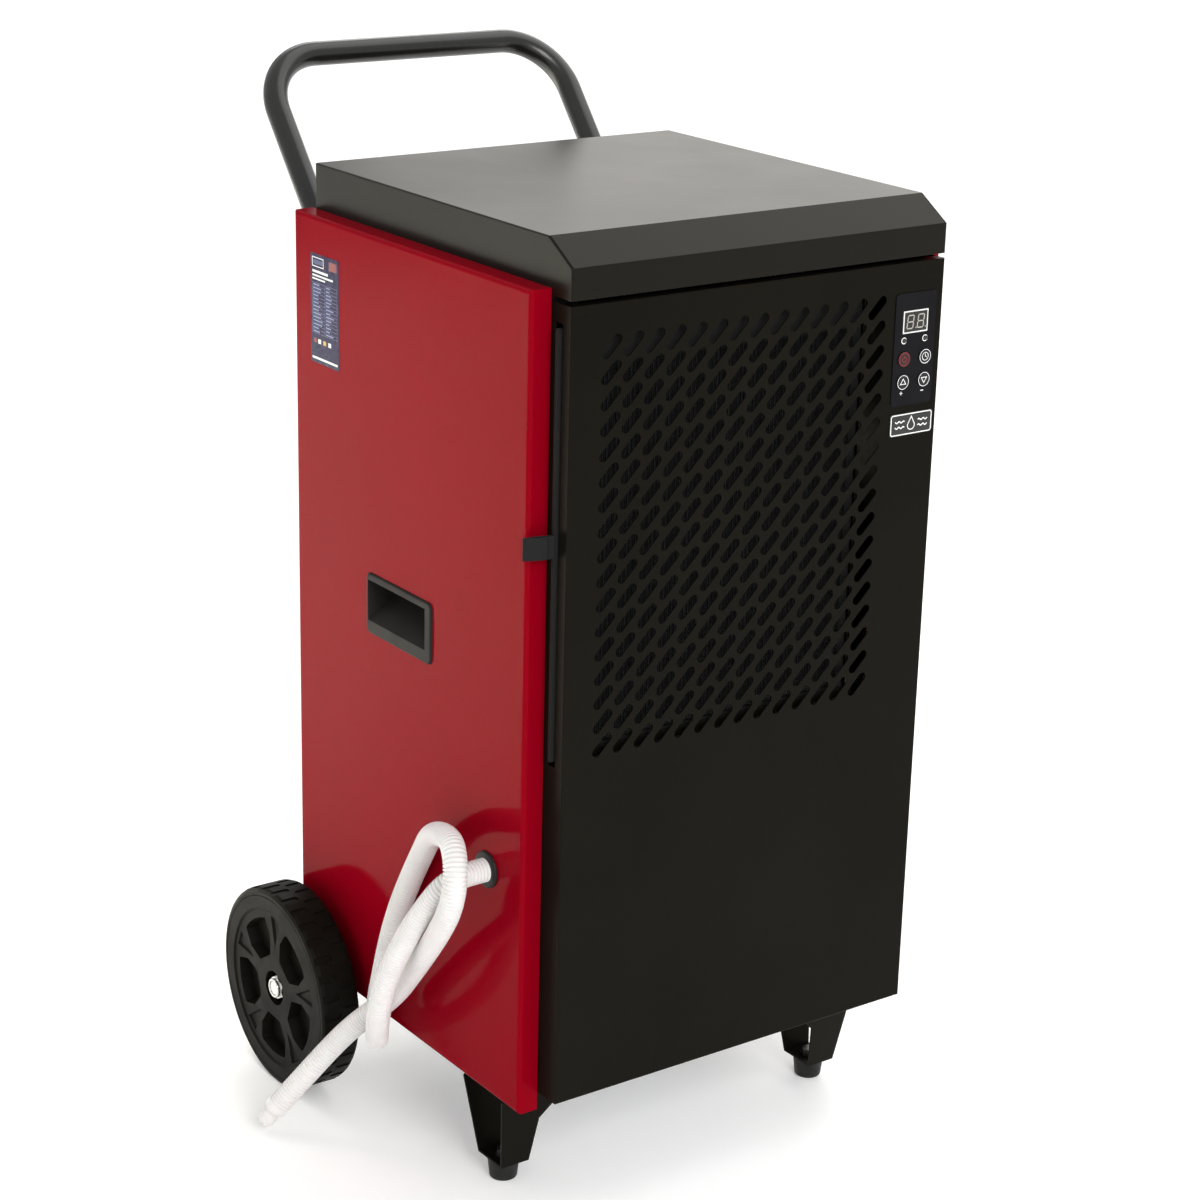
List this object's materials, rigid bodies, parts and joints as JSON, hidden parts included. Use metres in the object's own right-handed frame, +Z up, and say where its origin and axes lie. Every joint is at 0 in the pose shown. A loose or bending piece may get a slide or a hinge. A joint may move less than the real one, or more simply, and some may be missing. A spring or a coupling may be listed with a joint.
{
  "type": "dehumidifier",
  "caption": "Upright commercial refrigerant dehumidifier on two rear wheels, with a push handle, slotted air grille, keypad, sliding filter and drain hose.",
  "frame": {"origin": "on the floor, below the middle of the machine's width and depth (handle and wheels included, hose left out)", "axes": "+Z up, -Y out of the front grille, -X towards the drain hose side"},
  "size_m": [0.6668, 0.6431, 1.0729],
  "materials": {
    "black_sheet": "satin warm black powder coat",
    "red_sheet": "gloss red powder coat",
    "galvanised_sheet": "galvanised",
    "black_fastener": "black zinc",
    "keypad_film": "fine matt film",
    "red_key": "moulded",
    "dark_key": "moulded",
    "lamp_plastic": "translucent lamp",
    "display_plastic": "white frame round a dark window",
    "circuit_board": "solder mask",
    "badge": "printed plate",
    "blue_label": "printed film",
    "filter_binding": "bound edge",
    "filter_mesh": "nylon mesh",
    "webbing": "woven tape",
    "coil_aluminium": "finned",
    "copper": "drawn copper tube",
    "grey_plastic": "moulded",
    "hose_plastic": "translucent white polyethylene",
    "compressor_paint": "gloss black",
    "black_rubber": "moulded",
    "zinc_steel": "bright zinc",
    "fan_plastic": "moulded",
    "motor_paint": "satin",
    "black_wire": "coated wire",
    "black_plastic": "fine moulded texture",
    "wheel_plastic": "moulded",
    "black_gloss_tube": "gloss black"
  },
  "bodies": {
    "cabinet": {"front_panel": "black_sheet", "top_cover": "black_sheet", "left_side_tray": "red_sheet", "right_side_tray": "red_sheet", "left_inner_wall": "black_sheet", "right_inner_wall": "black_sheet", "rear_panel": "black_sheet", "base_pan": "galvanised_sheet", "mid_deck": "galvanised_sheet", "rear_panel_screws": "black_fastener", "keypad_overlay": "keypad_film", "indicator_lamps": "lamp_plastic", "display_module": "display_plastic", "control_board": "circuit_board", "badge_plate": "badge", "rating_label": "blue_label", "filter_rails": "black_sheet", "evaporator_fins": "coil_aluminium", "condenser_fins": "coil_aluminium", "coil_return_bends": "copper", "drip_tray": "grey_plastic", "inner_drain_tube": "hose_plastic", "compressor": "compressor_paint", "compressor_mounts": "black_rubber", "compressor_studs": "zinc_steel", "suction_accumulator": "compressor_paint", "refrigerant_pipes": "copper", "electrical_box": "galvanised_sheet", "run_capacitor": "grey_plastic", "fan_shroud": "galvanised_sheet", "fan_motor": "motor_paint", "motor_bracket": "galvanised_sheet", "fan_guard": "black_wire", "cord_gland": "black_plastic", "drain_grommet": "black_rubber", "left_pull_recess": "black_plastic", "right_pull_recess": "black_plastic", "left_front_leg": "black_sheet", "right_front_leg": "black_sheet", "rubber_feet": "black_rubber", "foot_bolts": "black_fastener", "axle": "zinc_steel", "axle_washers": "zinc_steel", "axle_nuts": "zinc_steel", "axle_brackets": "black_sheet", "handle_tube": "black_gloss_tube", "handle_clamps": "black_sheet", "handle_bolts": "black_fastener", "drain_hose": "hose_plastic", "hose_cuff": "hose_plastic"},
    "left_wheel": {"left_wheel": "wheel_plastic"},
    "right_wheel": {"right_wheel": "wheel_plastic"},
    "fan": {"fan_rotor": "fan_plastic"},
    "air_filter": {"filter_frame": "filter_binding", "filter_mesh": "filter_mesh", "filter_pull_tab": "webbing"},
    "power_button": {"power_key": "red_key"},
    "timer_button": {"timer_key": "dark_key"},
    "up_button": {"up_key": "dark_key"},
    "down_button": {"down_key": "dark_key"}
  },
  "joints": [
    {"name": "left_wheel_spin", "type": "hinge", "parent": "cabinet", "child": "left_wheel", "pos_m": [-0.275, 0.09615, 0.11], "axis": [1, 0, 0], "continuous": true},
    {"name": "right_wheel_spin", "type": "hinge", "parent": "cabinet", "child": "right_wheel", "pos_m": [0.275, 0.09615, 0.11], "axis": [1, 0, 0], "continuous": true},
    {"name": "fan_spin", "type": "hinge", "parent": "cabinet", "child": "fan", "pos_m": [0, -0.06935, 0.69385], "axis": [0, 1, 0], "continuous": true},
    {"name": "filter_slide", "type": "slide", "parent": "cabinet", "child": "air_filter", "axis": [-1, 0, 0], "range_m": [0, 0.36]},
    {"name": "power_button_press", "type": "slide", "parent": "cabinet", "child": "power_button", "axis": [0, 1, 0], "range_m": [0, 0.0008], "stiffness_N_per_m": 800},
    {"name": "timer_button_press", "type": "slide", "parent": "cabinet", "child": "timer_button", "axis": [0, 1, 0], "range_m": [0, 0.0008], "stiffness_N_per_m": 800},
    {"name": "up_button_press", "type": "slide", "parent": "cabinet", "child": "up_button", "axis": [0, 1, 0], "range_m": [0, 0.0008], "stiffness_N_per_m": 800},
    {"name": "down_button_press", "type": "slide", "parent": "cabinet", "child": "down_button", "axis": [0, 1, 0], "range_m": [0, 0.0008], "stiffness_N_per_m": 800}
  ]
}
